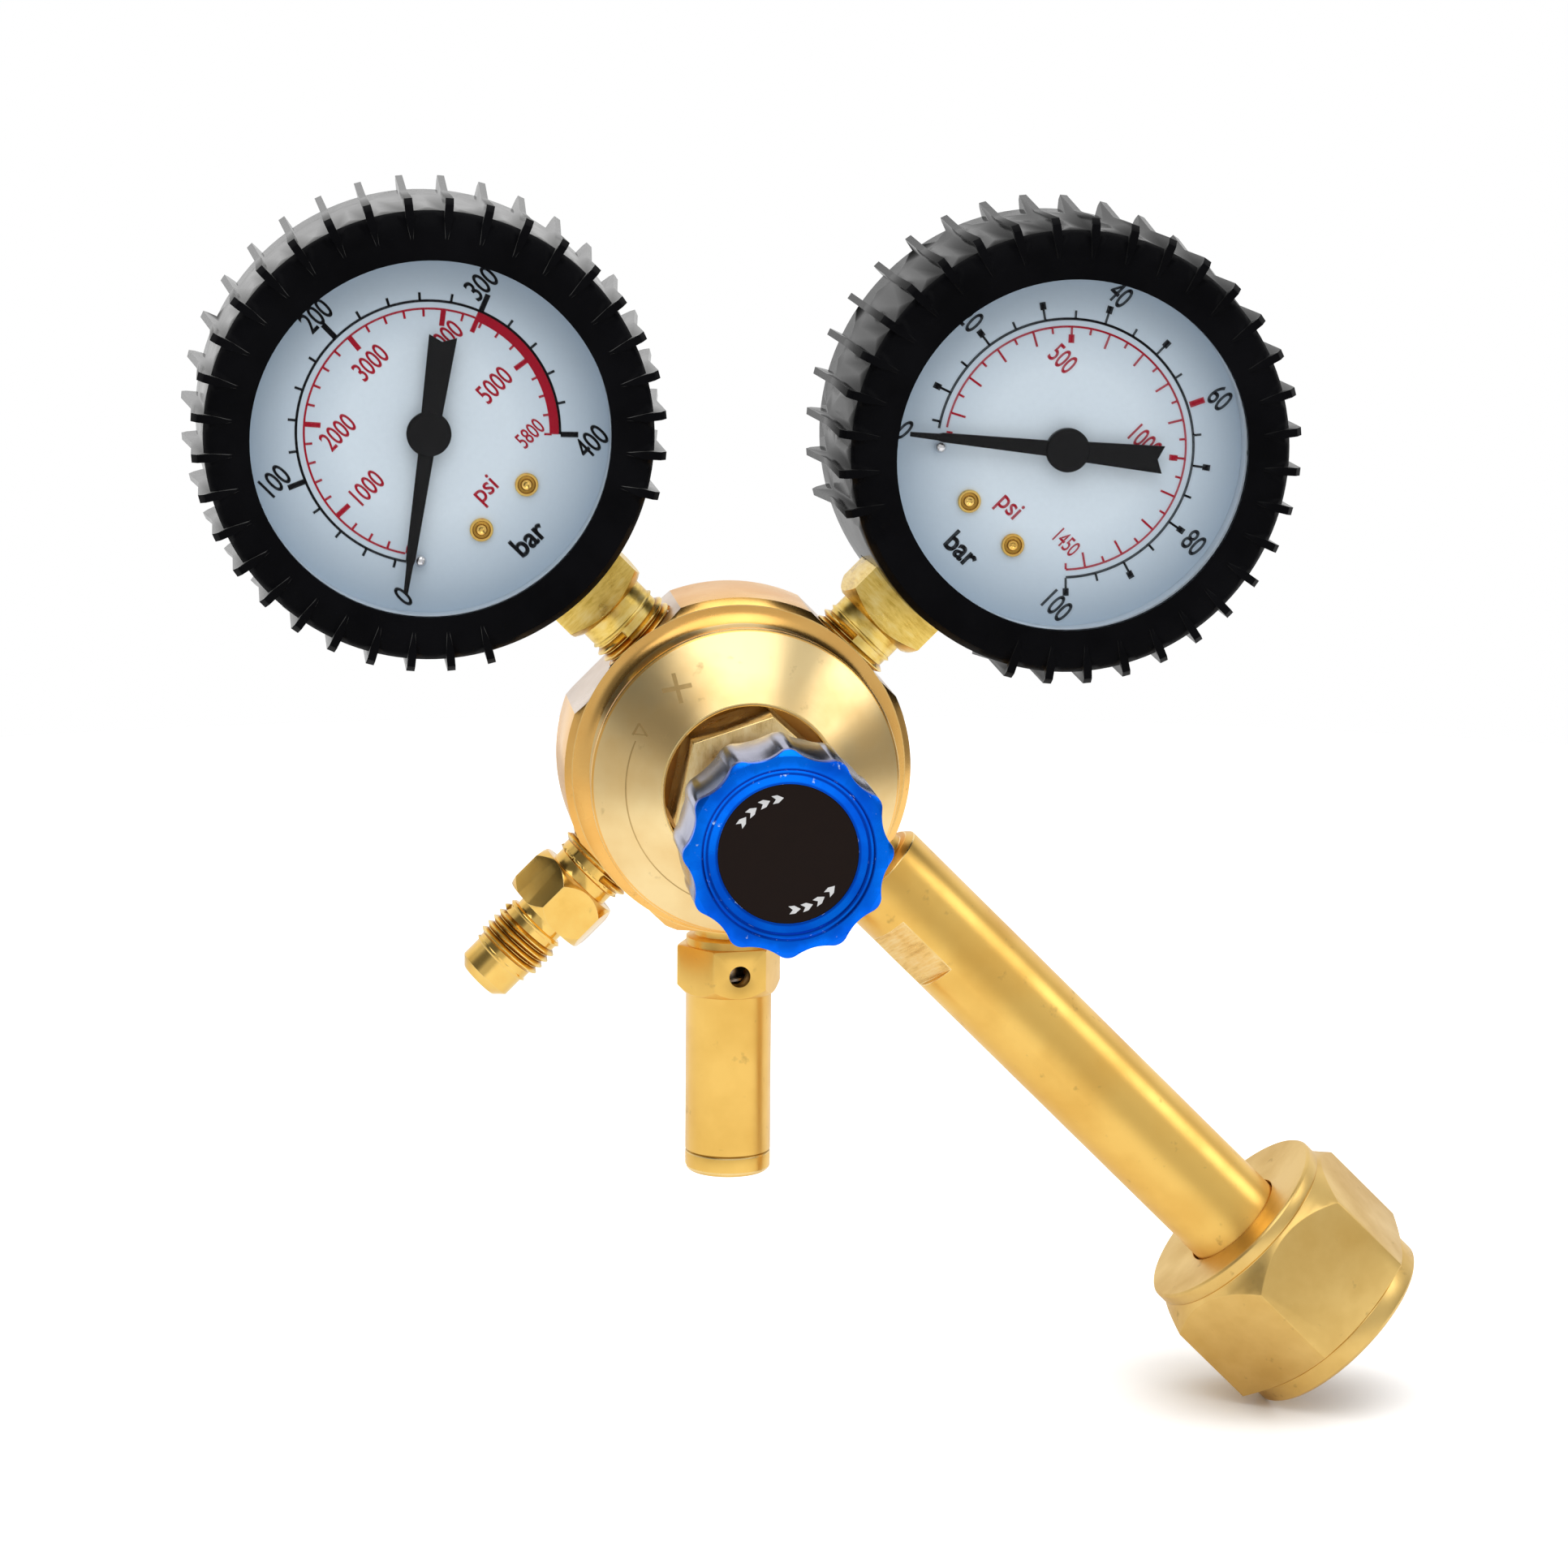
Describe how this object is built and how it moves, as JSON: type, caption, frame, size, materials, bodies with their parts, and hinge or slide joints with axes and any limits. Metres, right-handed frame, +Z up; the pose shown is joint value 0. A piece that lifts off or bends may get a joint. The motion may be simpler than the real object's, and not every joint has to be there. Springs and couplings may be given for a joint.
{
  "type": "gas pressure regulator",
  "caption": "Brass single-stage nitrogen regulator with a blue knob, two booted dial gauges, relief valve, hose outlet and a long inlet stem with swivel nut.",
  "frame": {"origin": "foot of the inlet nipple, on the inlet axis, where the nipple leaves its collar", "axes": "+Z up, the knob and both dials face -Y, and +X is to the right seen from the front"},
  "size_m": [0.1962, 0.0949, 0.1962],
  "materials": {
    "brass": "turned and sawn, satin",
    "bright_brass": "turned, bright",
    "steel": "satin",
    "spring_steel": "drawn wire",
    "bronze_rubber": "matte",
    "sintered_bronze": "porous",
    "knob_metal": "bright plated",
    "knob_blue": "blue, glossy",
    "label_black": "matte",
    "boot_rubber": "matte",
    "clear_lens": "clear",
    "ring_white": "pale",
    "dial_white": "white, satin",
    "pointer_black": "black"
  },
  "bodies": {
    "regulator": {"body": "brass", "bonnet": "bright_brass", "gland_nut": "bright_brass", "diaphragm": "bronze_rubber", "slip_ring": "steel", "diaphragm_plate": "brass", "range_spring": "spring_steel", "valve_seat": "bright_brass", "poppet_spring": "spring_steel", "inlet_stem": "brass", "inlet_filter": "sintered_bronze", "outlet_fitting": "brass", "relief_body": "brass", "relief_spring": "spring_steel", "relief_cap": "brass", "contents_boot": "boot_rubber", "contents_case": "steel", "contents_bezel": "steel", "contents_lens": "clear_lens", "contents_spacer_ring": "ring_white", "contents_dial": "dial_white", "contents_dial_screws": "brass", "contents_stop_pin": "steel", "contents_hairspring": "bright_brass", "contents_movement_frame": "brass", "contents_pressure_tube": "bright_brass", "contents_socket": "brass", "delivery_boot": "boot_rubber", "delivery_case": "steel", "delivery_bezel": "steel", "delivery_lens": "clear_lens", "delivery_spacer_ring": "ring_white", "delivery_dial": "dial_white", "delivery_dial_screws": "brass", "delivery_stop_pin": "steel", "delivery_hairspring": "bright_brass", "delivery_movement_frame": "brass", "delivery_pressure_tube": "bright_brass", "delivery_socket": "brass"},
    "spring_button": {"spring_button": "brass"},
    "knob": {"adjusting_screw": "brass", "knob": "knob_metal", "knob_face": "knob_blue", "knob_label": "label_black"},
    "valve_poppet": {"valve_poppet": "steel"},
    "relief_poppet": {"relief_poppet": "steel"},
    "inlet_nut": {"inlet_nut": "brass"},
    "contents_sector": {"contents_sector": "brass"},
    "contents_pointer": {"contents_pointer": "pointer_black", "contents_pinion": "brass"},
    "contents_link": {"contents_link": "steel"},
    "delivery_sector": {"delivery_sector": "brass"},
    "delivery_pointer": {"delivery_pointer": "pointer_black", "delivery_pinion": "brass"},
    "delivery_link": {"delivery_link": "steel"}
  },
  "joints": [
    {"name": "screw_feed", "type": "slide", "parent": "regulator", "child": "spring_button", "axis": [0, 1, 0], "range_m": [0, 0.005], "deforming": ["range_spring"]},
    {"name": "knob_turn", "type": "hinge", "parent": "spring_button", "child": "knob", "pos_m": [-0.08606, -0.0573, 0.08089], "axis": [0, 1, 0], "range_deg": [0, 1440.5]},
    {"name": "valve_lift", "type": "slide", "parent": "regulator", "child": "valve_poppet", "axis": [0, 1, 0], "range_m": [0, 0.0008], "stiffness_N_per_m": 2000, "springref_m": -0.002, "deforming": ["poppet_spring"]},
    {"name": "relief_lift", "type": "slide", "parent": "regulator", "child": "relief_poppet", "axis": [0, 0, -1], "range_m": [0, 0.002], "stiffness_N_per_m": 1500, "springref_m": -0.006, "deforming": ["relief_spring"]},
    {"name": "inlet_nut_turn", "type": "hinge", "parent": "regulator", "child": "inlet_nut", "pos_m": [-0.00498, 0, 0.00498], "axis": [0.7071, 0, -0.7071], "continuous": true},
    {"name": "contents_sector_turn", "type": "hinge", "parent": "regulator", "child": "contents_sector", "pos_m": [-0.12282, -0.005, 0.12282], "axis": [0, 1, 0], "range_deg": [-32.88, 0]},
    {"name": "contents_pointer_turn", "type": "hinge", "parent": "regulator", "child": "contents_pointer", "pos_m": [-0.13396, -0.005, 0.13396], "axis": [0, 1, 0], "range_deg": [0, 263]},
    {"name": "contents_link_turn", "type": "hinge", "parent": "contents_sector", "child": "contents_link", "pos_m": [-0.12078, -0.005, 0.11882], "axis": [0, 1, 0], "range_deg": [0, 32.88]},
    {"name": "delivery_sector_turn", "type": "hinge", "parent": "regulator", "child": "delivery_sector", "pos_m": [-0.04713, -0.005, 0.11982], "axis": [0, 1, 0], "range_deg": [-32.88, 0]},
    {"name": "delivery_pointer_turn", "type": "hinge", "parent": "regulator", "child": "delivery_pointer", "pos_m": [-0.03599, -0.005, 0.13096], "axis": [0, 1, 0], "range_deg": [0, 263]},
    {"name": "delivery_link_turn", "type": "hinge", "parent": "delivery_sector", "child": "delivery_link", "pos_m": [-0.05114, -0.005, 0.11778], "axis": [0, 1, 0], "range_deg": [0, 32.88]}
  ],
  "couplings": [
    {"joint": "knob_turn", "follows": "screw_feed", "rad_per_m": 5026.5},
    {"joint": "contents_pointer_turn", "follows": "contents_sector_turn", "ratio": -8},
    {"joint": "contents_link_turn", "follows": "contents_sector_turn", "ratio": -1},
    {"joint": "delivery_pointer_turn", "follows": "delivery_sector_turn", "ratio": -8},
    {"joint": "delivery_link_turn", "follows": "delivery_sector_turn", "ratio": -1}
  ]
}
